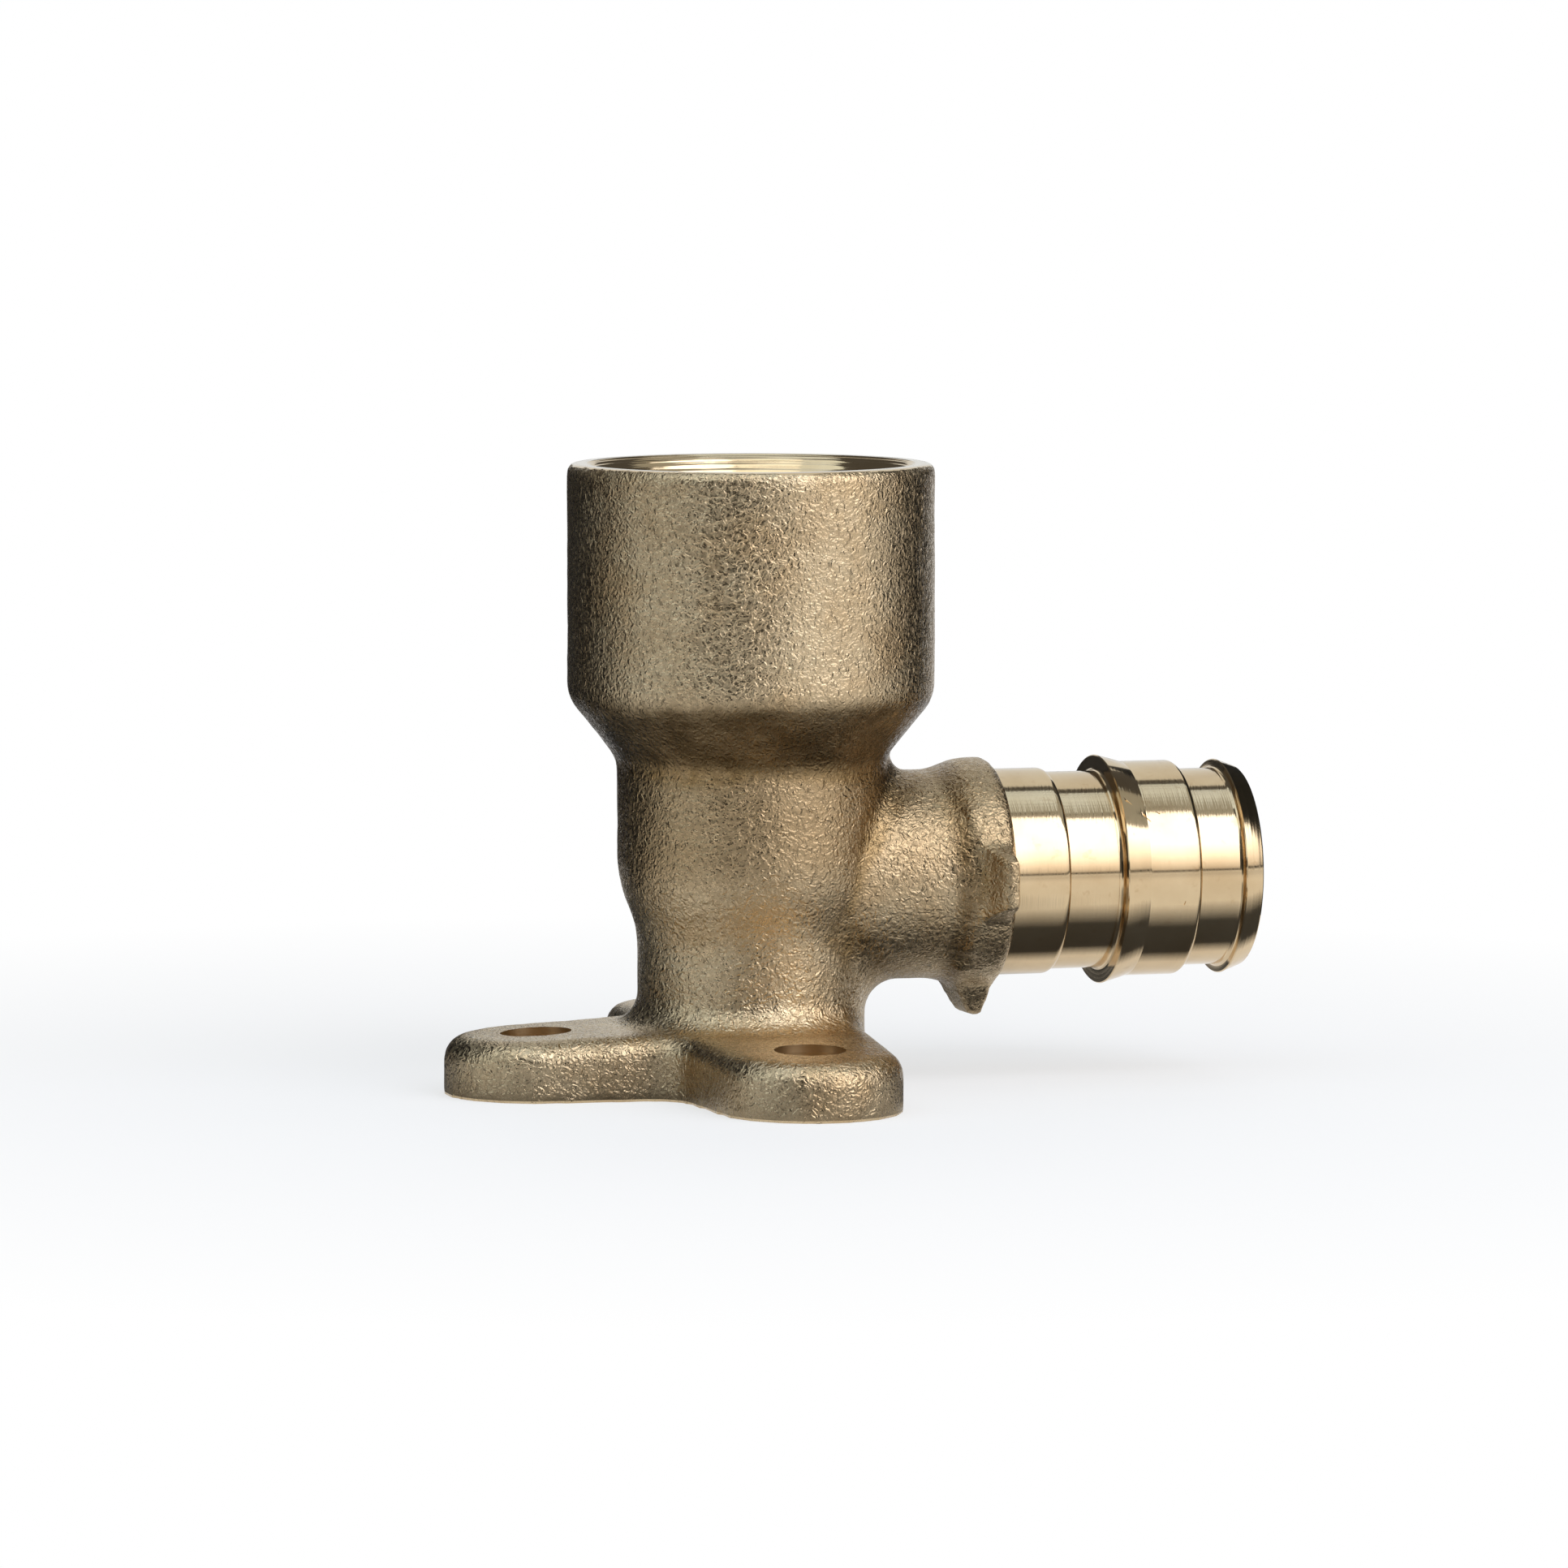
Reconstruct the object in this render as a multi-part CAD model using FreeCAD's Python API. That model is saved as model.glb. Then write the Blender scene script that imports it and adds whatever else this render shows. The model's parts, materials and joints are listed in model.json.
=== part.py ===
import FreeCAD, Part
import math
import os
from FreeCAD import Vector

# A wall plate elbow: one brass casting with a threaded socket on top, a barbed tube
# spigot on its side and a three-eared fixing plate below. The origin lies on the socket
# axis in the plate's underside, +Z runs up the socket and +X along the spigot.
# All lengths are in millimetres and all angles in degrees.

# Fixing plate
plate_thickness = 4.5       # at the screw holes
plate_fall = 2.4            # slope of the top face, downward and outward
plate_edge_round = 1.7
ear_reach = 16.2            # socket axis to screw hole
ear_radius = 6.65
ear_taper = 5.0             # each ear side widens toward the middle by this angle
plate_inset = 0.3           # plate's border below the arm, inside the waist
ear_corner_round = 3.0      # inside corners between the ears
screw_hole_radius = 2.6
foot_round = 2.2            # hollow between the waist and the plate, where the arm leaves room

# Upright body, from the plate's top face to the rim
waist_wall = 2.0            # around the waterway
throat_drop = 3.7           # arm axis down to the start of the throat
throat_angle = 22.0         # slope of the widening from waist to neck
throat_hollow_round = 7.0
throat_crown_round = 10.0
throat_step = 1.47          # neck radius less waist radius
neck_rise = 1.24            # boss top up to the start of the cone
cone_angle = 39.3           # slope of the widening from neck to socket
cone_hollow_round = 2.6
cone_crown_round = 3.0
socket_wall = 2.78          # around the thread
socket_length = 17.05
rim_edge_round = 0.65

# Spigot arm, along +X
arm_height = 15.25          # plate underside to the arm's axis
boss_length = 8.08          # side of the neck to the collar face, where the pushed-on tube stops
boss_wall = 2.65            # around the spigot bore
boss_top_round = 1.4        # hollow between the boss and the upright body, above the arm
boss_under_round = 2.75     # the same hollow, below the arm
collar_step = 0.8           # collar radius less boss radius
collar_land = 2.2
collar_rise = 2.2           # length of the slope from boss to collar
collar_flank_round = 4.0
collar_edge_round = 0.6

# Three lugs on the collar: front, back and below
lug_height = 1.95           # above the collar
lug_tip_width = 3.4
lug_side_slope = 28.0
lug_foot_round = 1.2
lug_tip_length = 1.0
lug_tip_round = 0.9
lug_corner_round = 0.35
lug_back_slope = 27.0
lower_lug_lean = 15.0       # backward slope of its face
side_lug_lean = 1.5
lug_setback = 0.3           # foot of the lug's face behind the collar's face
lug_skirt = 20.0            # angle over which a lug's foot runs out into the collar

# Barbed spigot, in order from the collar outward
rear_land_length = 3.85
rear_land_radius = 7.57
step_length = 0.5           # slope at the end of each plain land
step_round = 0.4
groove_radius = 7.25        # between the lands and the barbs
root_round = 0.3            # foot of each barb's shoulder
middle_barb_x = 8.4         # collar face to the middle barb's shoulder
middle_barb_radius = 8.42
middle_barb_slope = 1.9     # length of the slope down to the grip land
grip_land_radius = 7.9
grip_land_length = 3.55
end_barb_x = 17.58          # collar face to the end barb's shoulder
end_barb_radius = 7.9
nose_radius = 7.4
nose_length = 1.48

# Waterway
thread_radius = 10.6        # wall of the socket's thread
thread_length = 15.5
thread_mouth_step = 1.0     # widening of the countersink above the thread
thread_mouth_depth = 1.8
rim_inner_chamfer = 0.4
thread_floor_slope = 30.0   # of the step below the thread
spigot_bore_radius = 5.0
waterway_step = 1.3         # radius of the upright waterway less that of the spigot bore
sump_depth = 0.8            # waterway bottom below the spigot bore
bore_mouth_chamfer = 0.4

# Radii and places that follow from the bores, walls and steps
waterway_radius = spigot_bore_radius + waterway_step
waist_radius = waterway_radius + waist_wall
neck_radius = waist_radius + throat_step
socket_radius = thread_radius + socket_wall
boss_radius = spigot_bore_radius + boss_wall
collar_radius = boss_radius + collar_step
collar_face_x = neck_radius + boss_length
lug_radius = collar_radius + lug_height

# Directions, and how edges are picked out for rounding
AXIS_X = Vector(1, 0, 0)
AXIS_Y = Vector(0, 1, 0)
AXIS_Z = Vector(0, 0, 1)
ORIGIN = Vector(0, 0, 0)
FIND = 1e-3                 # how near a point has to lie to count as on a surface
SAMPLES = 5                 # points tested along each edge
FOOT_SHARE = 0.8            # most of the waist below the boss that the foot's hollow takes


def slope(angle):
    return math.tan(math.radians(angle))


# Rounded outlines

def corner_arc(before, corner, after, radius):
    """Tangent points and middle point of an arc that rounds one corner."""
    back = (before - corner).normalize()
    ahead = (after - corner).normalize()
    half_angle = back.getAngle(ahead) / 2
    reach = radius / math.tan(half_angle)
    to_centre = (back + ahead).normalize()
    middle = corner + to_centre * (radius / math.sin(half_angle) - radius)
    return corner + back * reach, middle, corner + ahead * reach


def rounded_face(corners, axis_u, axis_v, origin=ORIGIN):
    """Face inside a closed outline of (u, v, radius) corners, in the plane of two axes."""
    points = [origin + axis_u * u + axis_v * v for u, v, radius in corners]
    edges = []
    arcs = []
    for index, (u, v, radius) in enumerate(corners):
        point = points[index]
        if radius > 0:
            following = points[(index + 1) % len(points)]
            arcs.append(corner_arc(points[index - 1], point, following, radius))
        else:
            arcs.append((point, None, point))
    for index, (start, middle, end) in enumerate(arcs):
        if middle is not None:
            edges.append(Part.Arc(start, middle, end).toShape())
        next_start = arcs[(index + 1) % len(arcs)][0]
        if end.distanceToPoint(next_start) > FIND:
            edges.append(Part.makeLine(end, next_start))
    return Part.Face(Part.Wire(edges))


def turned_upright(corners):
    """Solid turned about the socket axis from (radius, height, round) corners."""
    return rounded_face(corners, AXIS_X, AXIS_Z).revolve(ORIGIN, AXIS_Z, 360)


def turned_arm(corners):
    """Solid turned about the arm axis from (x, radius, round) corners."""
    centre = Vector(0, 0, arm_height)
    return rounded_face(corners, AXIS_X, AXIS_Z, centre).revolve(centre, AXIS_X, 360)


# Fixing plate

def plate_top(radius):
    """Height of the falling top face at a distance from the socket axis."""
    return plate_thickness + (ear_reach - radius) * slope(plate_fall)


def ear_corner(taper):
    """Half width of an ear's end at its tip line, before the end is rounded."""
    return ear_radius * slope(45 - taper / 2)


def plate():
    tip = ear_reach + ear_radius
    end = ear_corner(ear_taper)
    inner = (end + tip * slope(ear_taper)) / (1 + slope(ear_taper))
    side = waist_radius - plate_inset
    side_taper = math.acos(ear_radius / math.hypot(side, ear_reach)) - math.atan2(ear_reach, side)
    side_end = ear_corner(math.degrees(side_taper))
    outline = [
        (side, 0, waist_radius),
        (side_end, tip, ear_radius),
        (-end, tip, ear_radius),
        (-inner, inner, ear_corner_round),
        (-tip, end, ear_radius),
        (-tip, -end, ear_radius),
        (-inner, -inner, ear_corner_round),
        (-end, -tip, ear_radius),
        (side_end, -tip, ear_radius),
    ]
    blank = rounded_face(outline, AXIS_X, AXIS_Y).extrude(AXIS_Z * plate_top(0))
    rim = 2 * tip
    core = waist_radius / 2
    under_top = turned_upright([
        (0, 0, 0),
        (rim, 0, 0),
        (rim, plate_top(rim), 0),
        (core, plate_top(core), 0),
        (0, plate_top(core), 0),
    ])
    return blank.common(under_top)


def edges_where(solid, test):
    """Edges of a solid whose sampled points all pass a test."""
    return [edge for edge in solid.Edges if all(map(test, edge.discretize(SAMPLES)))]


def graded_fillet(solid, test, round_at):
    """Rounds the edges that pass a test, by a radius that changes with height."""
    document = FreeCAD.newDocument()
    source = document.addObject("Part::Feature")
    source.Shape = solid
    fillet = document.addObject("Part::Fillet")
    fillet.Base = source
    rows = []
    for number, edge in enumerate(source.Shape.Edges, start=1):
        points = edge.discretize(SAMPLES)
        if edge.Orientation == "Reversed":
            points.reverse()
        if all(map(test, points)):
            rows.append((number, round_at(points[0].z), round_at(points[-1].z)))
    fillet.Edges = rows
    document.recompute()
    rounded = fillet.Shape.copy()
    FreeCAD.closeDocument(document.Name)
    return rounded


def axis_distance(point):
    return math.hypot(point.x, point.y)


def rounded_plate():
    def on_top_border(point):
        radius = axis_distance(point)
        return radius > waist_radius / 2 + FIND and abs(point.z - plate_top(radius)) < FIND

    solid = plate()
    return solid.makeFillet(plate_edge_round, edges_where(solid, on_top_border))


# Upright body

def throat_start():
    return arm_height - throat_drop


def throat_end():
    return throat_start() + (neck_radius - waist_radius) / slope(throat_angle)


def neck_end():
    return arm_height + boss_radius + neck_rise


def socket_start():
    return neck_end() + (socket_radius - neck_radius) / slope(cone_angle)


def rim_height():
    return socket_start() + socket_length


def room_under_boss():
    """Height of plain waist between the plate and the arm's boss."""
    return arm_height - boss_radius - plate_top(waist_radius)


def upright():
    """Waist, throat, neck, cone and socket, without any bore."""
    return turned_upright([
        (0, 0, 0),
        (waist_radius, 0, 0),
        (waist_radius, throat_start(), throat_hollow_round),
        (neck_radius, throat_end(), throat_crown_round),
        (neck_radius, neck_end(), cone_hollow_round),
        (socket_radius, socket_start(), cone_crown_round),
        (socket_radius, rim_height(), rim_edge_round),
        (0, rim_height(), 0),
    ])


def footed_body():
    """Upright body standing on the plate, with the hollow round where they meet."""
    def on_foot(point):
        return abs(axis_distance(point) - waist_radius) < FIND and point.z < plate_top(0)

    solid = rounded_plate().fuse(upright()).removeSplitter()
    foot = [edge for edge in edges_where(solid, on_foot) if edge.BoundBox.ZMax > FIND]
    return solid.makeFillet(min(foot_round, FOOT_SHARE * room_under_boss()), foot)


# Spigot arm

def collar_rise_start():
    return collar_face_x - collar_land - collar_rise


def arm():
    """Boss from the socket axis outward, with the collar at its end."""
    return turned_arm([
        (0, 0, 0),
        (0, boss_radius, 0),
        (collar_rise_start(), boss_radius, collar_flank_round),
        (collar_face_x - collar_land, collar_radius, collar_flank_round),
        (collar_face_x, collar_radius, collar_edge_round),
        (collar_face_x, 0, 0),
    ])


def lug(outward, lean):
    """One lug pointing outward from the arm, its face leaning back from the collar's."""
    centre = Vector(0, 0, arm_height)
    across = AXIS_X.cross(outward)
    base = boss_radius / 2
    half_tip = lug_tip_width / 2
    half_foot = half_tip + (lug_radius - collar_radius) * slope(lug_side_slope)
    foot_height = math.sqrt(collar_radius ** 2 - half_foot ** 2)
    skirt = math.asin(half_foot / collar_radius) + math.radians(lug_skirt)
    skirt_across = collar_radius * math.sin(skirt)
    skirt_height = collar_radius * math.cos(skirt)
    section = rounded_face([
        (-skirt_across, base, 0),
        (-skirt_across, skirt_height, 0),
        (-half_foot, foot_height, lug_foot_round),
        (-half_tip, lug_radius, lug_corner_round),
        (half_tip, lug_radius, lug_corner_round),
        (half_foot, foot_height, lug_foot_round),
        (skirt_across, skirt_height, 0),
        (skirt_across, base, 0),
    ], across, outward, centre)
    face_foot = collar_face_x - lug_setback
    tip_end = face_foot - (lug_radius - collar_radius) * slope(lean)
    tip_start = tip_end - lug_tip_length
    profile = rounded_face([
        (tip_start - (lug_radius - base) * slope(lug_back_slope), base, 0),
        (tip_start, lug_radius, lug_tip_round),
        (tip_end, lug_radius, lug_corner_round),
        (face_foot, collar_radius, 0),
        (face_foot, base, 0),
    ], AXIS_X, outward, centre - across * lug_radius)
    bar = section.extrude(AXIS_X * collar_face_x)
    return bar.common(profile.extrude(across * 2 * lug_radius))


def spigot():
    """Turned barbs and lands that the tube grips, without the bore."""
    rear_end = collar_face_x + rear_land_length
    middle = collar_face_x + middle_barb_x
    grip_start = middle + middle_barb_slope
    grip_end = grip_start + grip_land_length
    end = collar_face_x + end_barb_x
    nose = end + nose_length
    return turned_arm([
        (collar_face_x - collar_land, 0, 0),
        (collar_face_x - collar_land, rear_land_radius, 0),
        (rear_end, rear_land_radius, step_round),
        (rear_end + step_length, groove_radius, 0),
        (middle, groove_radius, root_round),
        (middle, middle_barb_radius, 0),
        (grip_start, grip_land_radius, 0),
        (grip_end, grip_land_radius, step_round),
        (grip_end + step_length, groove_radius, 0),
        (end, groove_radius, root_round),
        (end, end_barb_radius, 0),
        (nose, nose_radius, 0),
        (nose, 0, 0),
    ])


def armed_body():
    """Footed body with the arm, the hollow round where they meet, lugs and spigot."""
    flank_angle = math.atan2(collar_step, collar_rise)
    boss_end = collar_rise_start() - collar_flank_round * math.tan(flank_angle / 2)

    def at_boss(point):
        distance = math.hypot(point.y, point.z - arm_height)
        return abs(distance - boss_radius) < FIND and point.x < boss_end - FIND

    def boss_round(height):
        share = (height - arm_height + boss_radius) / (2 * boss_radius)
        under_round = min(boss_under_round, room_under_boss())
        return under_round + (boss_top_round - under_round) * share

    solid = graded_fillet(footed_body().fuse(arm()).removeSplitter(), at_boss, boss_round)
    lugs = [lug(-AXIS_Y, side_lug_lean), lug(AXIS_Y, side_lug_lean), lug(-AXIS_Z, lower_lug_lean)]
    return solid.fuse([spigot()] + lugs).removeSplitter()


# Holes

def waterway():
    """Threaded socket, waterway below it and the bore through the spigot."""
    thread_floor = rim_height() - thread_length
    floor_drop = (thread_radius - waterway_radius) * slope(thread_floor_slope)
    sump = arm_height - spigot_bore_radius - sump_depth
    mouth_radius = thread_radius + thread_mouth_step
    mouth = rim_height() - rim_inner_chamfer
    upright_bore = turned_upright([
        (0, sump, 0),
        (waterway_radius, sump, 0),
        (waterway_radius, thread_floor - floor_drop, 0),
        (thread_radius, thread_floor, 0),
        (thread_radius, mouth - thread_mouth_depth, 0),
        (mouth_radius, mouth, 0),
        (mouth_radius + rim_inner_chamfer, rim_height(), 0),
        (0, rim_height(), 0),
    ])
    nose = collar_face_x + end_barb_x + nose_length
    arm_bore = turned_arm([
        (0, 0, 0),
        (0, spigot_bore_radius, 0),
        (nose - bore_mouth_chamfer, spigot_bore_radius, 0),
        (nose, spigot_bore_radius + bore_mouth_chamfer, 0),
        (nose, 0, 0),
    ])
    return upright_bore.fuse(arm_bore)


def screw_holes():
    places = [(-ear_reach, 0), (0, -ear_reach), (0, ear_reach)]
    depth = plate_top(0)
    return [Part.makeCylinder(screw_hole_radius, depth, Vector(x, y, 0)) for x, y in places]


def elbow():
    return armed_body().cut([waterway()] + screw_holes())


os.makedirs("parts", exist_ok=True)
elbow().exportStep("parts/elbow_body.step")
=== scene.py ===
import json
import math
import bmesh
import bpy
import numpy as np
from mathutils import Euler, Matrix, Vector, kdtree, noise


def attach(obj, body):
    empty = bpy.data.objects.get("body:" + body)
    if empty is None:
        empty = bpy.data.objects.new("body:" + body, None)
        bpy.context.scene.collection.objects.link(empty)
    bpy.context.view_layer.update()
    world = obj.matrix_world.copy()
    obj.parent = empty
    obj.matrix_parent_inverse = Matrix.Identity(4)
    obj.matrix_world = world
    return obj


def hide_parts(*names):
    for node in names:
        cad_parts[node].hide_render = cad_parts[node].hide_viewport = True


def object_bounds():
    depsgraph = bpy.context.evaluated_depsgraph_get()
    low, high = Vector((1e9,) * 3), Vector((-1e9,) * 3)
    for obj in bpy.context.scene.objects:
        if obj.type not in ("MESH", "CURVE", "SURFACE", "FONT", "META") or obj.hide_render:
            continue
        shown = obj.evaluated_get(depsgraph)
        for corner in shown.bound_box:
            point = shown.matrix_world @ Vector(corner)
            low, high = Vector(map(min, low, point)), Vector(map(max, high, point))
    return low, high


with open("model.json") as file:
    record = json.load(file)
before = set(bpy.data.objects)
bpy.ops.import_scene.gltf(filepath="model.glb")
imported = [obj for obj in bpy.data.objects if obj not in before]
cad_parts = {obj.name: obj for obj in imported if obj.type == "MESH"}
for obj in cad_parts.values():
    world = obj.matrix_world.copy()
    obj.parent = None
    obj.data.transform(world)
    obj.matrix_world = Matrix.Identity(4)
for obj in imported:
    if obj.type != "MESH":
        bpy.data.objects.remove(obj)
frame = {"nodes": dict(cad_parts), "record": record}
cad_low, cad_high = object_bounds()

# A cast brass wall plate elbow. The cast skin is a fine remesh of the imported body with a
# little foundry unevenness. The turned spigot, the thread and the bores are then cut
# into it with sharp edges, so that the whole part is one closed mesh. Lengths are in metres.

MM = 0.001

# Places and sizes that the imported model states
mounts = {mount["name"]: mount for mount in frame["record"]["mounts"]}
rim_z = cad_high.z
nose_x = cad_high.x
arm_z = mounts["tube_spigot"]["pos_m"][2]
ear_reach = -mounts["side_ear_hole"]["pos_m"][0]
screw_radius = mounts["side_ear_hole"]["dims"]["r_mm"] * MM
thread_radius = mounts["socket_thread"]["dims"]["r_mm"] * MM
grip_radius = mounts["tube_spigot"]["dims"]["r_mm"] * MM

# Cast skin
skin_voxel = 0.32 * MM
skin_smoothing = 2
wave_size = 4.0 * MM
wave_height = 0.040 * MM
pebble_size = 1.1 * MM
pebble_height = 0.022 * MM
facing_stock = 0.1 * MM     # left on the rim for the facing cut
facing_cut = 0.02 * MM
hollow_depth = 0.11 * MM
hollow_smoothing = 70

# Fillings of the bores while the skin is made
plug_spare = 1.1            # width of a filling over that of its bore
screw_plug_spare = 1.15
mouth_plug_margin = 0.3 * MM
floor_plug_margin = 0.4 * MM

# Fixing plate
plate_thickness = 4.5 * MM
plate_fall = math.tan(math.radians(2.4))

# Socket and waterway
waterway_radius = 6.3 * MM
waterway_floor_z = arm_z - 5.8 * MM
spigot_bore_radius = 5.0 * MM
thread_depth = 15.5 * MM
thread_pitch = 1.814 * MM
thread_taper = 1 / 32
thread_height = 1.32 * MM
thread_form = [(0.0, 0), (0.08, 0), (0.5, 1), (0.58, 1)]  # share of the pitch, share of the height
thread_floor_drop = 2.48 * MM
relief_depth = 0.6 * MM     # groove where the thread ends, past the thread's crests
relief_below = 0.4 * MM     # its lower edge under the thread's floor
relief_above = 1.2 * MM
relief_end = 1.8 * MM
mouth_radius = thread_radius + 1.0 * MM
mouth_depth = 1.8 * MM
rim_inner_chamfer = 0.4 * MM
socket_radius = thread_radius + 2.78 * MM
rim_turned_edge = 0.65 * MM

# Barbed spigot, from the collar outward
collar_face_x = 17.85 * MM
collar_groove_x = collar_face_x - 3.7 * MM
rear_land_end = collar_face_x + 3.85 * MM
rear_land_radius = 7.57 * MM
step_length = 0.5 * MM
groove_radius = 7.25 * MM
middle_barb_x = collar_face_x + 8.4 * MM
middle_barb_radius = 8.42 * MM
grip_start = middle_barb_x + 1.9 * MM
grip_end = grip_start + 3.55 * MM
end_barb_x = collar_face_x + 17.58 * MM
end_barb_radius = 7.9 * MM
nose_radius = 7.4 * MM
edge_break = 0.07 * MM
root_round = 0.3 * MM
bore_chamfer = 0.4 * MM
flank_flatness = 0.9        # share of a barb's slope that is straight, the rest is crowned
spigot_inset = 3 * MM       # turned spigot's reach back into the boss

# Mesh fineness
TURNED_SEGMENTS = 192
BORE_SEGMENTS = 128
RIM_STEPS = 5
LAND_END_STEPS = 8
ROOT_STEPS = 4
FLANK_STEPS = 10
SHARP_CAST_ANGLE = math.radians(40)
SHARP_TURNED_ANGLE = math.radians(12)
MERGE_DISTANCE = 1e-7

# Material slots
CAST, TURNED_ARM, TURNED_UPRIGHT, BORED = range(4)


# Meshes

def linked(name, mesh):
    thing = bpy.data.objects.new(name, mesh)
    bpy.context.scene.collection.objects.link(thing)
    return thing


def brass_object(name, mesh):
    for slot in brass_materials:
        mesh.materials.append(slot)
    return linked(name, mesh)


def mesh_object(name, points, faces, material=CAST):
    """Closed mesh with its faces turned outward."""
    mesh = bpy.data.meshes.new(name)
    mesh.from_pydata([tuple(point) for point in points], [], faces)
    shape = bmesh.new()
    shape.from_mesh(mesh)
    bmesh.ops.recalc_face_normals(shape, faces=shape.faces)
    shape.to_mesh(mesh)
    shape.free()
    thing = brass_object(name, mesh)
    mesh.polygons.foreach_set("material_index", [material] * len(mesh.polygons))
    return thing


def on_upright(along, radius, angle):
    return (radius * math.cos(angle), radius * math.sin(angle), along)


def on_arm(along, radius, angle):
    return (along, radius * math.cos(angle), arm_z + radius * math.sin(angle))


def turned(name, profile, place, segments, material):
    """Solid turned from (along, radius) points, which start and end on the axis."""
    points = [place(profile[0][0], 0, 0), place(profile[-1][0], 0, 0)]
    rings = []
    for along, radius in profile[1:-1]:
        rings.append(range(len(points), len(points) + segments))
        points += [place(along, radius, math.tau * i / segments) for i in range(segments)]
    faces = []
    for i in range(segments):
        j = (i + 1) % segments
        faces.append((0, rings[0][i], rings[0][j]))
        faces.append((1, rings[-1][j], rings[-1][i]))
        for ring, following in zip(rings, rings[1:]):
            faces.append((ring[i], following[i], following[j], ring[j]))
    return mesh_object(name, points, faces, material)


def quarter_turn(steps):
    """Angles from zero to a right angle."""
    return [math.pi / 2 * i / steps for i in range(steps + 1)]


def applied(thing):
    """Gives an object the mesh that its modifiers make."""
    bpy.context.view_layer.update()
    evaluated = thing.evaluated_get(bpy.context.evaluated_depsgraph_get())
    mesh = bpy.data.meshes.new_from_object(evaluated)
    thing.modifiers.clear()
    thing.data = mesh
    return thing


def combined(thing, tool, operation):
    """Adds a tool's solid to a thing or cuts it away, and removes the tool."""
    step = thing.modifiers.new(operation, "BOOLEAN")
    step.operation = operation
    step.solver = "MANIFOLD"
    step.material_mode = "TRANSFER"
    step.object = tool
    applied(thing)
    bpy.data.objects.remove(tool)
    return thing


# Cast skin

def plate_top(x, y):
    return plate_thickness + (ear_reach - math.hypot(x, y)) * plate_fall


def ear_places():
    return [(-ear_reach, 0), (0, -ear_reach), (0, ear_reach)]


def screw_plug(x, y):
    """Fills a screw hole flush with the plate's falling top."""
    radius = screw_radius * screw_plug_spare
    ring = [math.tau * i / BORE_SEGMENTS for i in range(BORE_SEGMENTS)]
    rim = [(x + radius * math.cos(a), y + radius * math.sin(a)) for a in ring]
    points = [(u, v, 0) for u, v in rim] + [(u, v, plate_top(u, v)) for u, v in rim]
    count = BORE_SEGMENTS
    faces = [tuple(range(count)), tuple(range(2 * count - 1, count - 1, -1))]
    faces += [(i, (i + 1) % count, count + (i + 1) % count, count + i) for i in range(count)]
    return mesh_object("screw_plug", points, faces)


def plugs():
    """Fillings for every bore, so that the skin is made without them."""
    wide = mouth_radius + rim_inner_chamfer + mouth_plug_margin
    floor_z = rim_z - thread_depth
    low_z = waterway_floor_z - floor_plug_margin
    upright = turned("upright_plug", [
        (low_z, 0),
        (low_z, waterway_radius * plug_spare),
        (floor_z - thread_floor_drop, waterway_radius * plug_spare),
        (floor_z, wide),
        (rim_z, wide),
        (rim_z, 0),
    ], on_upright, BORE_SEGMENTS, CAST)
    arm = turned("arm_plug", [
        (0, 0),
        (0, spigot_bore_radius * plug_spare),
        (nose_x, spigot_bore_radius * plug_spare),
        (nose_x, 0),
    ], on_arm, BORE_SEGMENTS, CAST)
    return [upright, arm] + [screw_plug(x, y) for x, y in ear_places()]


def filled_body():
    """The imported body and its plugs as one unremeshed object."""
    shape = bmesh.new()
    shape.from_mesh(frame["nodes"]["elbow_body"].data)
    for plug in plugs():
        shape.from_mesh(plug.data)
        bpy.data.objects.remove(plug)
    mesh = bpy.data.meshes.new("brass_elbow")
    shape.to_mesh(mesh)
    shape.free()
    return brass_object("brass_elbow", mesh)


def vertex_array(mesh, name):
    values = np.empty(len(mesh.vertices) * 3)
    mesh.vertices.foreach_get(name, values)
    return values.reshape(-1, 3)


def hollows(mesh):
    """From 0 on flat or crowned skin to 1 in the deep hollows, for each vertex."""
    edges = np.empty(len(mesh.edges) * 2, dtype=np.int64)
    mesh.edges.foreach_get("vertices", edges)
    first, second = edges.reshape(-1, 2).T
    count = len(mesh.vertices)
    around = np.bincount(first, minlength=count) + np.bincount(second, minlength=count)
    start = vertex_array(mesh, "co")
    points = start.copy()
    for _ in range(hollow_smoothing):
        for axis in range(3):
            values = points[:, axis]
            total = np.bincount(first, values[second], count) + np.bincount(second, values[first], count)
            points[:, axis] = total / around
    depth = ((points - start) * vertex_array(mesh, "normal")).sum(axis=1)
    return np.clip(depth / hollow_depth, 0, 1)


def skin_height(point):
    wave = noise.noise(point / wave_size) * wave_height
    pebble = noise.noise(point / pebble_size) * pebble_height
    return wave + pebble


def cast_skin():
    """Unbored casting with rounded edges and an uneven skin."""
    body = filled_body()
    remesh = body.modifiers.new("skin", "REMESH")
    remesh.mode = "VOXEL"
    remesh.voxel_size = skin_voxel
    smooth = body.modifiers.new("soften", "SMOOTH")
    smooth.factor = 0.5
    smooth.iterations = skin_smoothing
    applied(body)
    points = vertex_array(body.data, "co")
    normals = vertex_array(body.data, "normal")
    heights = np.array([skin_height(Vector(point)) for point in points])
    heights[points[:, 2] < skin_voxel] = 0
    heights[(points[:, 2] > rim_z - skin_voxel) & (normals[:, 2] > 0.9)] = facing_stock
    body.data.vertices.foreach_set("co", (points + normals * heights[:, None]).ravel())
    body.data.update()
    return body


# Turned spigot

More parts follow.
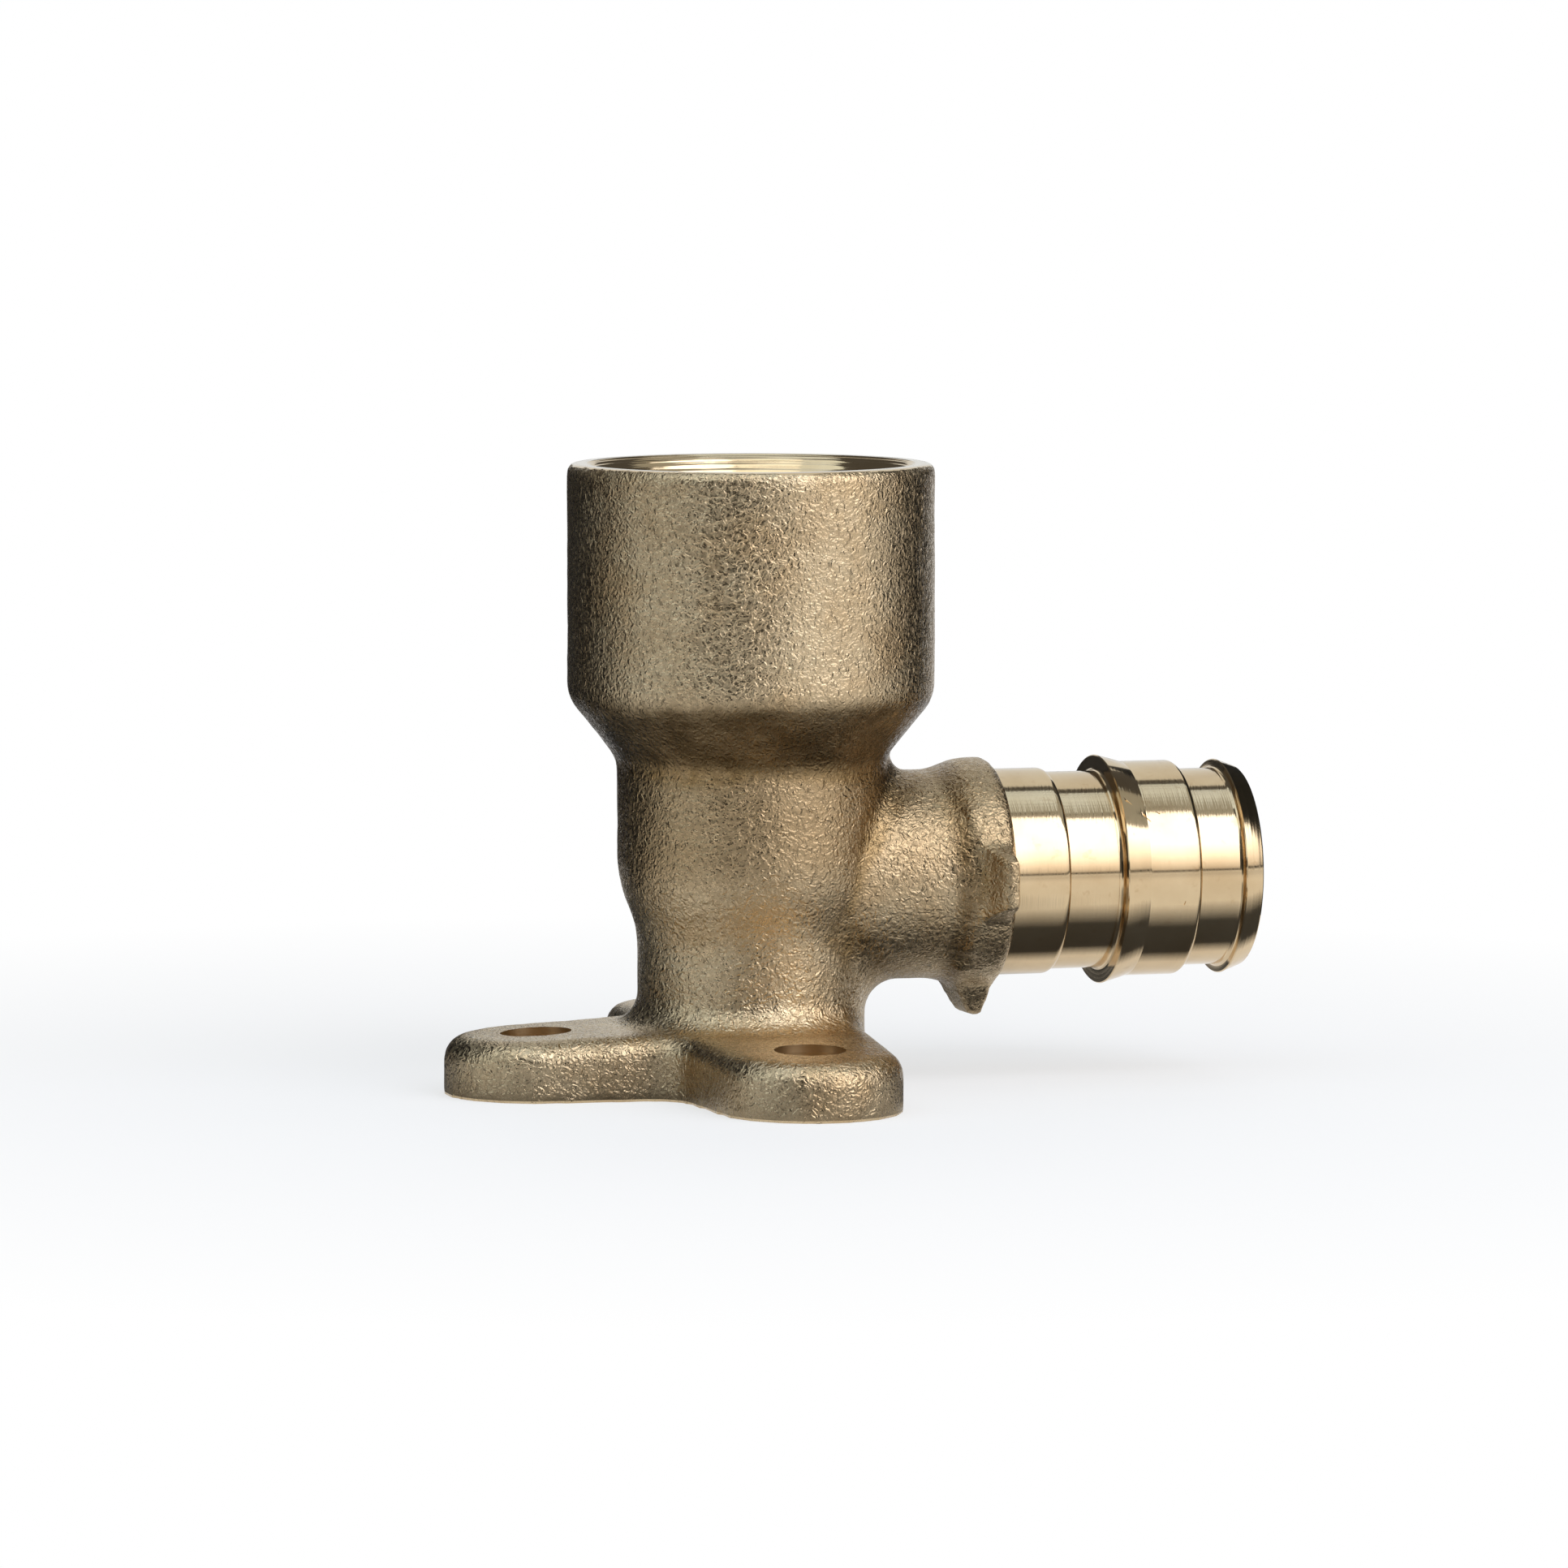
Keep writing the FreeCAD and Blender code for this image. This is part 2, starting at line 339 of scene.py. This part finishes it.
def spigot():
    """Barbs and lands with broken edges, reaching back into the boss."""
    profile = [
        (collar_face_x - spigot_inset, 0),
        (collar_face_x - spigot_inset, rear_land_radius),
    ]
    profile += step_down(rear_land_end, rear_land_radius)
    profile += barb(middle_barb_x, middle_barb_radius)
    profile += flank(middle_barb_x + edge_break, middle_barb_radius, grip_start, grip_radius)
    profile += step_down(grip_end, grip_radius)
    profile += barb(end_barb_x, end_barb_radius)
    profile += flank(end_barb_x + edge_break, end_barb_radius, nose_x - edge_break, nose_radius)
    profile += [
        (nose_x, nose_radius - edge_break),
        (nose_x, 0),
    ]
    return turned("spigot", held(profile), on_arm, TURNED_SEGMENTS, TURNED_ARM)


def fallen(share):
    """How much of a flank's whole fall is reached at a share of its length."""
    return flank_flatness * share + (1 - flank_flatness) * share ** 2


def flank(start_x, start_radius, end_x, end_radius):
    """Slope of a barb, a little flatter by its lip and steeper further on."""
    points = []
    for i in range(1, FLANK_STEPS + 1):
        share = i / FLANK_STEPS
        radius = start_radius + (end_radius - start_radius) * fallen(share)
        points.append((start_x + (end_x - start_x) * share, radius))
    return points


def held(profile):
    """Adds points close to the ends of long lines, which keeps their shading straight."""
    margin = 0.04 * MM
    points = [profile[0]]
    for start, end in zip(profile, profile[1:]):
        start = Vector(start)
        end = Vector(end)
        way = end - start
        if way.length > 8 * margin:
            points.append(start + way.normalized() * margin)
            points.append(end - way.normalized() * margin)
        points.append(end)
    return [tuple(point) for point in points]


def step_down(x, radius):
    """Rounded end of a land, falling to the groove."""
    points = []
    for turn in quarter_turn(LAND_END_STEPS):
        height = (radius - groove_radius) * math.cos(turn)
        points.append((x + step_length * math.sin(turn), groove_radius + height))
    return points


def barb(x, radius):
    """Hollow root, flat shoulder and broken lip of one barb."""
    points = []
    for turn in quarter_turn(ROOT_STEPS):
        back = root_round * (1 - math.sin(turn))
        points.append((x - back, groove_radius + root_round * (1 - math.cos(turn))))
    return points + [(x, radius - edge_break), (x + edge_break, radius)]


# Cutting tools

def nick_tool(x, turn, length, tilt):
    """Thin wedge that leaves a small handling mark on the spigot's outside."""
    depth = 0.05 * MM
    width = 0.11 * MM
    share = min(1, (x - middle_barb_x) / (grip_start - middle_barb_x))
    radius = middle_barb_radius + (grip_radius - middle_barb_radius) * fallen(share)
    ring = math.radians(turn)
    out = Vector((0, -math.cos(ring), math.sin(ring)))
    along = Vector((1, 0, 0))
    around = out.cross(along)
    way = along * math.cos(math.radians(tilt)) + around * math.sin(math.radians(tilt))
    side = out.cross(way)
    bottom = Vector((x, 0, arm_z)) + out * (radius - depth)
    top = bottom + out * depth * 3
    short = way * length * 0.3
    long = way * length * 0.6
    points = [
        bottom - short,
        bottom + short,
        top + long + side * width,
        top + long - side * width,
        top - long - side * width,
        top - long + side * width,
    ]
    faces = [(0, 1, 2, 5), (1, 0, 4, 3), (0, 5, 4), (1, 3, 2), (2, 3, 4, 5)]
    return mesh_object("nick_tool", points, faces, TURNED_ARM)


def nicks():
    """Handling marks: place along the arm, turn above the front, length and tilt."""
    return [
        nick_tool(middle_barb_x + 0.7 * MM, 41, 1.5 * MM, -40),
        nick_tool(middle_barb_x + 1.9 * MM, 33, 1.0 * MM, -50),
        nick_tool(grip_start + 0.9 * MM, 36, 0.5 * MM, -35),
        nick_tool(grip_start + 2.6 * MM, -14, 0.4 * MM, 70),
    ]


def facing_tool():
    """Clears the space of the spigot, up to the collar's face."""
    return turned("facing_tool", [
        (collar_face_x, 0),
        (collar_face_x, middle_barb_radius * 1.1),
        (nose_x + MM, middle_barb_radius * 1.1),
        (nose_x + MM, 0),
    ], on_arm, TURNED_SEGMENTS, TURNED_ARM)


def rim_tool():
    """Faces the socket's rim flat and rounds its outer edge."""
    outside = socket_radius * 1.2
    face_z = rim_z - facing_cut
    profile = [(face_z, 0)]
    for turn in quarter_turn(RIM_STEPS):
        out = rim_turned_edge * (math.sin(turn) - 1)
        down = rim_turned_edge * (1 - math.cos(turn))
        profile.append((face_z - down, socket_radius + out))
    profile += [
        (face_z - rim_turned_edge * 1.1, outside),
        (rim_z + MM, outside),
        (rim_z + MM, 0),
    ]
    return turned("rim_tool", profile, on_upright, TURNED_SEGMENTS, TURNED_UPRIGHT)


def waterway_tool():
    """Upright bore below the thread, with a relief groove where the thread ends."""
    floor_z = rim_z - thread_depth
    crest = thread_radius - thread_height - thread_depth * thread_taper
    return turned("waterway_tool", [
        (waterway_floor_z, 0),
        (waterway_floor_z, waterway_radius),
        (floor_z - thread_floor_drop, waterway_radius),
        (floor_z - relief_below, crest + relief_depth),
        (floor_z + relief_above, crest + relief_depth),
        (floor_z + relief_end, crest * 0.9),
        (rim_z - thread_depth / 2, 0),
    ], on_upright, BORE_SEGMENTS, BORED)


def mouth_tool():
    """Countersinks the thread's first turn and chamfers the rim's inner edge."""
    mouth_z = rim_z - rim_inner_chamfer
    apex_depth = mouth_depth * mouth_radius / (mouth_radius - thread_radius)
    return turned("mouth_tool", [
        (mouth_z - apex_depth, 0),
        (mouth_z, mouth_radius),
        (rim_z + MM, mouth_radius + rim_inner_chamfer + MM),
        (rim_z + MM, 0),
    ], on_upright, TURNED_SEGMENTS, TURNED_UPRIGHT)


def arm_bore_tool():
    return turned("arm_bore_tool", [
        (0, 0),
        (0, spigot_bore_radius),
        (nose_x - bore_chamfer, spigot_bore_radius),
        (nose_x + bore_chamfer, spigot_bore_radius + 2 * bore_chamfer),
        (nose_x + bore_chamfer, 0),
    ], on_arm, BORE_SEGMENTS, TURNED_ARM)


def screw_tool(x, y):
    def beside(along, radius, angle):
        return (x + radius * math.cos(angle), y + radius * math.sin(angle), along)

    top = plate_top(x, y)
    return turned("screw_tool", [
        (-MM, 0),
        (-MM, screw_radius),
        (top + 2 * MM, screw_radius),
        (top + 2 * MM, 0),
    ], beside, BORE_SEGMENTS, BORED)


def thread_points(start_z, last):
    """Columns of points around the tap, each a little higher than the one before."""
    points = []
    per_turn = len(thread_form)
    for i in range(BORE_SEGMENTS):
        angle = math.tau * i / BORE_SEGMENTS
        for row in range(last + 1):
            share, ridge = thread_form[row % per_turn]
            along = start_z + thread_pitch * (row // per_turn + share + i / BORE_SEGMENTS)
            root = thread_radius - (rim_z - along) * thread_taper
            points.append(on_upright(along, root - thread_height * (1 - ridge), angle))
    return points


def thread_tool():
    """Tap with the form of a taper pipe thread: one helical ridge that runs up its side."""
    start_z = rim_z - thread_depth + MM
    turns = math.ceil((rim_z - start_z) / thread_pitch) + 1
    per_turn = len(thread_form)
    last = turns * per_turn
    seam = BORE_SEGMENTS - 1
    points = thread_points(start_z, last)

    def index(i, row):
        return i * (last + 1) + row

    faces = []
    for i in range(seam):
        for row in range(last):
            faces.append((index(i, row), index(i + 1, row), index(i + 1, row + 1), index(i, row + 1)))
    for row in range(last - per_turn):
        after = row + per_turn
        faces.append((index(seam, row), index(0, after), index(0, after + 1), index(seam, row + 1)))
    bottom = [index(i, 0) for i in range(BORE_SEGMENTS)]
    bottom += [index(0, row) for row in range(per_turn, 0, -1)]
    top = [index(i, last) for i in range(BORE_SEGMENTS)]
    top += [index(seam, row) for row in range(last - 1, last - per_turn - 1, -1)]
    for loop, turn in ((bottom, 0), (top, turns)):
        points.append((0, 0, start_z + thread_pitch * (turn + 0.5)))
        centre = len(points) - 1
        faces += [(centre, loop[i], loop[(i + 1) % len(loop)]) for i in range(len(loop))]
    return mesh_object("thread_tool", points, faces, BORED)


def sharpened(thing):
    """Smooth shading with sharp edges, at smaller turns on machined faces than on cast ones."""
    shape = bmesh.new()
    shape.from_mesh(thing.data)
    bmesh.ops.dissolve_degenerate(shape, edges=shape.edges, dist=MERGE_DISTANCE)
    for face in shape.faces:
        face.smooth = True
    for edge in shape.edges:
        cast = any(face.material_index == CAST for face in edge.link_faces)
        limit = SHARP_CAST_ANGLE if cast else SHARP_TURNED_ANGLE
        edge.smooth = edge.calc_face_angle(math.pi) < limit
    shape.to_mesh(thing.data)
    shape.free()


def keep_hollows(mesh, skin_points, skin_hollows):
    """Stores each vertex's hollow value, taken from the nearest point of the skin."""
    tree = kdtree.KDTree(len(skin_points))
    for index, point in enumerate(skin_points):
        tree.insert(point, index)
    tree.balance()
    values = [skin_hollows[tree.find(vertex.co)[1]] for vertex in mesh.vertices]
    mesh.attributes.new("hollow", "FLOAT", "POINT").data.foreach_set("value", values)


def elbow():
    body = cast_skin()
    skin_points = vertex_array(body.data, "co")
    skin_hollows = hollows(body.data)
    combined(body, facing_tool(), "DIFFERENCE")
    combined(body, spigot(), "UNION")
    tools = [rim_tool(), waterway_tool(), thread_tool(), mouth_tool(), arm_bore_tool()]
    tools += [screw_tool(x, y) for x, y in ear_places()]
    tools += nicks()
    for tool in tools:
        combined(body, tool, "DIFFERENCE")
    sharpened(body)
    keep_hollows(body.data, skin_points, skin_hollows)
    return body


# Materials

class Graph:
    """Short calls for building one material's nodes."""

    def __init__(self, name):
        self.material = bpy.data.materials.new(name)
        self.material.use_nodes = True
        self.nodes = self.material.node_tree.nodes
        self.links = self.material.node_tree.links
        self.shader = self.nodes["Principled BSDF"]
        self.place = self.add("ShaderNodeTexCoord").outputs["Object"]

    def add(self, kind, values=None, **settings):
        node = self.nodes.new(kind)
        for key, value in settings.items():
            setattr(node, key, value)
        for key, value in (values or {}).items():
            self.put(value, node.inputs[key])
        return node

    def put(self, value, socket):
        if isinstance(value, bpy.types.NodeSocket):
            self.links.new(value, socket)
        else:
            socket.default_value = value

    def noise(self, scale, detail=2.0, roughness=0.5, distortion=0.0):
        node = self.add("ShaderNodeTexNoise", {
            "Vector": self.place, "Scale": scale, "Detail": detail,
            "Roughness": roughness, "Distortion": distortion})
        return node.outputs["Fac"]

    def stripes(self, travel, scale, detail):
        node = self.add("ShaderNodeTexNoise", {"W": travel, "Scale": scale, "Detail": detail},
                        noise_dimensions="1D")
        return node.outputs["Fac"]

    def ramp(self, value, low, high, to_low=0.0, to_high=1.0):
        node = self.add("ShaderNodeMapRange", {
            "Value": value, "From Min": low, "From Max": high, "To Min": to_low, "To Max": to_high})
        return node.outputs["Result"]

    def coordinate(self, axis):
        return self.add("ShaderNodeSeparateXYZ", {0: self.place}).outputs[axis]

    def distance(self, point):
        node = self.add("ShaderNodeVectorMath", {0: self.place, 1: point}, operation="DISTANCE")
        return node.outputs["Value"]

    def math(self, operation, first, second=0.0, third=0.0):
        return self.add("ShaderNodeMath", {0: first, 1: second, 2: third}, operation=operation).outputs[0]

    def product(self, first, *others):
        for other in others:
            first = self.math("MULTIPLY", first, other)
        return first

    def mix(self, share, first, second):
        node = self.add("ShaderNodeMix", data_type="RGBA")
        self.put(share, node.inputs[0])
        self.put(first, node.inputs[6])
        self.put(second, node.inputs[7])
        return node.outputs[2]

    def bump(self, height, distance, strength=1.0, under=None):
        node = self.add("ShaderNodeBump", {"Height": height, "Distance": distance, "Strength": strength})
        if under is not None:
            self.put(under, node.inputs["Normal"])
        return node.outputs["Normal"]

    def shade(self, **values):
        for key, value in values.items():
            self.put(value, self.shader.inputs[key.replace("_", " ")])
        return self.material

    def surface(self, output):
        self.links.new(output, self.nodes["Material Output"].inputs["Surface"])
        return self.material

    def blend(self, share, first, second):
        """Shows one shader's output, and another's by the given share."""
        mix = self.add("ShaderNodeMixShader", {0: share, 1: first, 2: second})
        return self.surface(mix.outputs[0])


def rgb(red, green, blue):
    return (red, green, blue, 1.0)


def cast_tone(graph):
    """Yellow brass with warmer patches, and painted shade that makes it browner between the arm and the
    socket.
    """
    tone = graph.ramp(graph.noise(260, 4.0), 0.35, 0.65)
    colour = graph.mix(tone, rgb(0.53, 0.397, 0.238), rgb(0.62, 0.487, 0.308))
    warm = graph.ramp(graph.noise(150, 5.0, 0.65), 0.50, 0.68)
    colour = graph.mix(graph.product(warm, 0.55), colour, rgb(0.55, 0.375, 0.195))
    height = graph.coordinate("Z")
    above_arm = graph.ramp(height, arm_z - 2 * MM, arm_z + 2 * MM)
    below_socket = graph.ramp(height, arm_z + 11 * MM, arm_z + 13.5 * MM, 1.0, 0.0)
    # Painted shade: browner and darker from about the arm's height up to under the socket's overhang
    return graph.mix(graph.product(above_arm, below_socket, 0.75), colour, rgb(0.42, 0.295, 0.16))


def hollow_stain(graph, patches):
    """Share of brown stain in the hollows above the plate."""
    hollow = graph.add("ShaderNodeAttribute", attribute_name="hollow").outputs["Fac"]
    above_foot = graph.ramp(graph.coordinate("Z"), plate_thickness + 3 * MM, plate_thickness + 6 * MM)
    return graph.product(graph.math("POWER", hollow, 0.9), above_foot, graph.ramp(patches, 0, 1, 0.4, 0.95))


def painted_groove_shade(graph, patches):
    """Share of painted shade in the groove behind the collar, where the hollow looks dark."""
    beside = graph.math("ABSOLUTE", graph.math("SUBTRACT", graph.coordinate("X"), collar_groove_x))
    groove = graph.ramp(beside, 0.2 * MM, 1.1 * MM, 1.0, 0.0)
    by_arm = graph.ramp(graph.distance((collar_groove_x, 0, arm_z)), 8.4 * MM, 9.4 * MM, 1.0, 0.0)
    return graph.product(groove, by_arm, graph.ramp(patches, 0, 1, 0.45, 0.9))


def painted_socket_shade(graph, patches):
    """Share of painted shade on faces that look down from the socket."""
    facing = graph.add("ShaderNodeTexCoord").outputs["Normal"]
    downward = graph.ramp(graph.add("ShaderNodeSeparateXYZ", {0: facing}).outputs["Z"], -0.05, -0.45)
    under_socket = graph.ramp(graph.coordinate("Z"), arm_z + 5 * MM, arm_z + 8 * MM)
    return graph.product(downward, under_socket, graph.ramp(patches, 0, 1, 0.7, 0.95))


def cast_brass():
    """Shot-blasted skin: fine bright grain, uneven tone, brown stain in the hollows and painted shade near
    the socket and collar.
    """
    graph = Graph("cast_brass")
    patches = graph.ramp(graph.noise(420, 5.0, 0.6), 0.40, 0.62)
    colour = cast_tone(graph)
    colour = graph.mix(hollow_stain(graph, patches), colour, rgb(0.33, 0.215, 0.095))
    # Painted shade, dark brown, in the groove behind the collar
    colour = graph.mix(painted_groove_shade(graph, patches), colour, rgb(0.24, 0.15, 0.065))
    # Painted shade, nearly black brown, on the downward faces under the socket
    colour = graph.mix(painted_socket_shade(graph, patches), colour, rgb(0.11, 0.072, 0.033))
    bends = graph.ramp(graph.noise(1900, 1.5, 0.5, distortion=0.7), 0.3, 0.7, -1, 1)
    worms = graph.math("ABSOLUTE", bends)
    fine = graph.ramp(graph.noise(5200, 2.0, 0.6), 0.25, 0.75, 0.0, 0.7)
    rough = graph.ramp(graph.noise(3600, 1.0), 0.38, 0.62, 0.15, 0.40)
    normal = graph.bump(graph.math("ADD", worms, fine), 0.042 * MM)
    return graph.shade(Base_Color=colour, Metallic=1.0, Roughness=rough, Normal=normal)


def tool_travel(graph, along, centre, faced):
    """Coordinate that grows along a turned surface, and over its faced ends by the given share."""
    offset = graph.add("ShaderNodeVectorMath", {0: graph.place, 1: centre}, operation="SUBTRACT").outputs[0]
    across = [1 - value for value in along]
    flat = graph.add("ShaderNodeVectorMath", {0: offset, 1: across}, operation="MULTIPLY").outputs[0]
    radius = graph.add("ShaderNodeVectorMath", {0: flat}, operation="LENGTH").outputs["Value"]
    return graph.math("MULTIPLY_ADD", radius, faced, graph.coordinate("X" if along[0] else "Z"))


def turned_brass(name, along, centre, line_depth, ring_depth, faced=1.0, dullness=0.0):
    """Bright brass with faint tool lines around its axis, on faced ends too unless faced is 0."""
    graph = Graph(name)
    travel = tool_travel(graph, along, centre, faced)
    lines = graph.stripes(travel, 9000, 3.0)
    rings = graph.stripes(travel, 3000, 1.0)
    cloud = graph.ramp(graph.noise(300, 4.0), 0.35, 0.7)
    colour = graph.mix(cloud, rgb(0.71, 0.545, 0.335), rgb(0.63, 0.465, 0.27))
    spots = graph.ramp(graph.noise(900, 3.0, 0.6), 0.62, 0.74)
    colour = graph.mix(graph.product(spots, 0.5), colour, rgb(0.52, 0.35, 0.18))
    rough = graph.ramp(lines, 0.3, 0.7, 0.07 + dullness, 0.13 + dullness)
    normal = graph.bump(lines, line_depth, 0.5, graph.bump(rings, ring_depth))
    return graph.shade(Base_Color=colour, Metallic=1.0, Roughness=rough, Normal=normal)


brass_materials = [
    cast_brass(),
    turned_brass("turned_arm_brass", (1, 0, 0), (0, 0, arm_z), 0.007 * MM, 0.004 * MM),
    turned_brass("turned_upright_brass", (0, 0, 1), (0, 0, 0), 0.008 * MM, 0.045 * MM),
    turned_brass("bored_brass", (0, 0, 1), (0, 0, 0), 0.006 * MM, 0.006 * MM, faced=0.0, dullness=0.2),
]


# Studio

# Camera fitted to the photograph
camera_place = (-0.17820, -0.66071, 0.08433)
camera_turn = (84.808, 0.0, -15.295)
camera_lens = 216.474
sensor_width = 36.0

# Point that the softboxes face, and how far off they stand
aim = Vector((5 * MM, 0, 20 * MM))
studio_distance = 0.7

# Light from all round, and the floor with the dark sheets of painted shade just above it
world_light = 0.09
floor_reach = 15.0
ground_reach = 100 * MM
ground_lift = 0.2 * MM
far_ground_reach = 0.6
far_ground_lift = 0.15 * MM


def make_camera():
    data = bpy.data.cameras.new("camera")
    data.sensor_width = sensor_width
    data.lens = camera_lens
    camera = bpy.data.objects.new("camera", data)
    camera.location = camera_place
    camera.rotation_euler = Euler([math.radians(turn) for turn in camera_turn])
    bpy.context.scene.collection.objects.link(camera)
    bpy.context.scene.camera = camera


def glow(name, colour, strength, lowest=1.0, full=0.01, low_colour=None, slats=0.0):
    """Light panel, dimmed toward its lower edge from the given share of its height."""
    graph = Graph(name)
    across = graph.add("ShaderNodeTexCoord").outputs["Generated"]
    split = graph.add("ShaderNodeSeparateXYZ", {0: across}).outputs
    power = graph.ramp(split["Z"], 0.0, full, strength * lowest, strength)
    gaps = graph.ramp(graph.stripes(split["Y"], 16.0, 2.0), 0.36, 0.50, 1.0 - slats, 1.0)
    tint = graph.mix(graph.ramp(split["Z"], 0.0, full), rgb(*(low_colour or colour)), rgb(*colour))
    light = graph.add("ShaderNodeEmission", {"Color": tint, "Strength": graph.product(power, gaps)})
    return graph.surface(light.outputs[0])


def panel(name, corners, material):
    """Flat four-cornered piece of the studio."""
    mesh = bpy.data.meshes.new(name)
    mesh.from_pydata([tuple(corner) for corner in corners], [], [(0, 1, 2, 3)])
    mesh.materials.append(material)
    thing = linked(name, mesh)
    return thing


def level_corners(low_x, low_y, high_x, high_y, height):
    outline = [(low_x, low_y), (high_x, low_y), (high_x, high_y), (low_x, high_y)]
    return [(x, y, height) for x, y in outline]


def card(name, compass, height, half_width, half_height, material):
    """Panel that faces the part, placed and sized by angles as seen from there."""
    turn = math.radians(compass)
    rise = math.radians(height)
    out = Vector((math.sin(turn) * math.cos(rise), -math.cos(turn) * math.cos(rise), math.sin(rise)))
    side = Vector((math.cos(turn), math.sin(turn), 0)) * studio_distance * math.tan(math.radians(half_width))
    up = out.cross(side).normalized() * studio_distance * math.tan(math.radians(half_height))
    centre = aim + out * studio_distance
    corners = [centre - side - up, centre + side - up, centre + side + up, centre - side + up]
    panel(name, corners, material).visible_camera = False


def make_lights():
    """Softboxes: compass angle from the front toward +X, height, half width and half height in degrees."""
    key = glow("key_light", (0.97, 1.0, 1.10), 2.9, 0.30, 0.45, (1.0, 0.94, 0.90))
    card("key_softbox", 38, 33, 28, 31, key)
    card("right_softbox", 78, 52, 18, 18, glow("right_light", (0.95, 1.0, 1.0), 0.45))
    card("left_softbox", -78, 30, 16, 24, glow("left_light", (0.88, 1.0, 1.08), 1.15))
    card("front_softbox", -32, 54, 20, 12, glow("front_light", (0.93, 1.0, 1.05), 1.8))
    card("top_softbox", 0, 90, 38, 16, glow("top_light", (0.85, 1.0, 1.16), 1.15, slats=0.5))
    card("back_softbox", 165, 32, 20, 30, glow("back_light", (0.96, 1.0, 1.02), 0.85))


def make_world():
    world = bpy.data.worlds.new("studio")
    world.use_nodes = True
    background = world.node_tree.nodes["Background"]
    background.inputs["Color"].default_value = rgb(1.0, 1.0, 1.0)
    background.inputs["Strength"].default_value = world_light
    bpy.context.scene.world = world


def floor_material():
    """Pale floor with a soft shadow by the part, white further out."""
    graph = Graph("floor")
    graph.shade(Base_Color=rgb(0.92, 0.92, 0.92), Roughness=0.9)
    white = graph.add("ShaderNodeEmission", {"Color": rgb(1, 1, 1), "Strength": 1.0}).outputs[0]
    path = graph.add("ShaderNodeLightPath").outputs
    seen = graph.math("MAXIMUM", path["Is Camera Ray"], path["Is Glossy Ray"])
    seen = graph.math("MAXIMUM", seen, path["Is Transmission Ray"])
    away = graph.distance((0, 0, 0))
    share = graph.product(seen, graph.ramp(away, 0.03, 0.12, 0.65, 1.0))
    return graph.blend(share, graph.shader.outputs[0], white)


def make_floor():
    corners = level_corners(-floor_reach, -floor_reach, floor_reach, floor_reach, 0)
    panel("floor", corners, floor_material())


def flag(name, corners, material):
    """Dark card that only the metal's reflections show."""
    thing = panel(name, corners, material)
    thing.visible_camera = False
    thing.visible_diffuse = False
    thing.visible_shadow = False
    thing.visible_transmission = False


def wall_flags(name, first, last, reach, tall, material):
    """Dark wall around the part between two compass angles."""
    pieces = 4
    turns = [math.radians(first + (last - first) * i / pieces) for i in range(pieces + 1)]
    ends = [(reach * math.sin(turn), -reach * math.cos(turn)) for turn in turns]
    for number, ((x0, y0), (x1, y1)) in enumerate(zip(ends, ends[1:])):
        corners = [(x0, y0, 0), (x1, y1, 0), (x1, y1, tall), (x0, y0, tall)]
        flag(f"{name}_{number}", corners, material)


def dark_sheet(graph, share):
    """Dark material that is there only by the given share, and clear elsewhere."""
    graph.shade(Base_Color=rgb(0.06, 0.06, 0.06), Roughness=0.9)
    clear = graph.add("ShaderNodeBsdfTransparent").outputs[0]
    return graph.blend(share, clear, graph.shader.outputs[0])


def ground_shade():
    """Painted shadow that the metal reflects: dark around the foot and under the arm, fading out along the
    floor.
    """
    graph = Graph("ground_shade")
    foot = graph.ramp(graph.distance((-8 * MM, 8 * MM, 0)), 14 * MM, 32 * MM, 1.0, 0.0)
    behind = graph.ramp(graph.distance((-12 * MM, 45 * MM, 0)), 30 * MM, 50 * MM, 1.0, 0.0)
    ahead = graph.ramp(graph.distance((0, -33 * MM, 0)), 12 * MM, 32 * MM, 0.65, 0.0)
    side = graph.coordinate("Y")
    front = graph.ramp(side, -25 * MM, -13 * MM)
    back = graph.ramp(side, -4 * MM, 0, 1.0, 0.0)
    along = graph.ramp(graph.coordinate("X"), 2 * MM, 8 * MM)
    share = graph.product(front, back, along)
    for place in (foot, behind, ahead):
        share = graph.math("MAXIMUM", share, place)
    for x, y in ear_places():
        outside_hole = graph.ramp(graph.distance((x, y, 0)), screw_radius, screw_radius * 1.2)
        share = graph.product(share, outside_hole)
    return dark_sheet(graph, share)


def far_ground_shade():
    """Dimmer floor further out, most to the left, which brings out the skin's relief."""
    graph = Graph("far_ground_shade")
    away = graph.distance((0, 0, 0))
    to_left = graph.ramp(graph.coordinate("X"), -0.09, -0.05, 1.0, 0.0)
    left = graph.product(graph.ramp(away, 0.06, 0.12, 0.0, 0.55), to_left)
    share = graph.math("MAXIMUM", left, graph.ramp(away, 0.12, 0.25, 0.0, 0.25))
    return dark_sheet(graph, share)


def make_flags():
    """Dark cards around the part, which give the metal its dark edges, and floor sheets of painted shade
    that it reflects.
    """
    dark = Graph("flag").shade(Base_Color=rgb(0.02, 0.02, 0.02), Roughness=0.9)
    wall_flags("right_flag", 77, 128, 0.070, 0.060, dark)
    wall_flags("back_flag", 178, 205, 0.120, 0.060, dark)
    wall_flags("left_flag", 205, 262, 0.055, 0.055, dark)
    wall_flags("front_flag", -48, 4, 0.150, 0.045, dark)
    near = level_corners(-ground_reach, -ground_reach, ground_reach, ground_reach, ground_lift)
    flag("ground_flag", near, ground_shade())
    reach = far_ground_reach
    far = level_corners(-reach, -reach, reach, ground_reach, far_ground_lift)
    flag("far_ground_flag", far, far_ground_shade())


make_camera()
make_world()
make_floor()
make_lights()
make_flags()

part = elbow()
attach(part, "root")
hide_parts("elbow_body")

bpy.context.scene.view_settings.view_transform = "Standard"
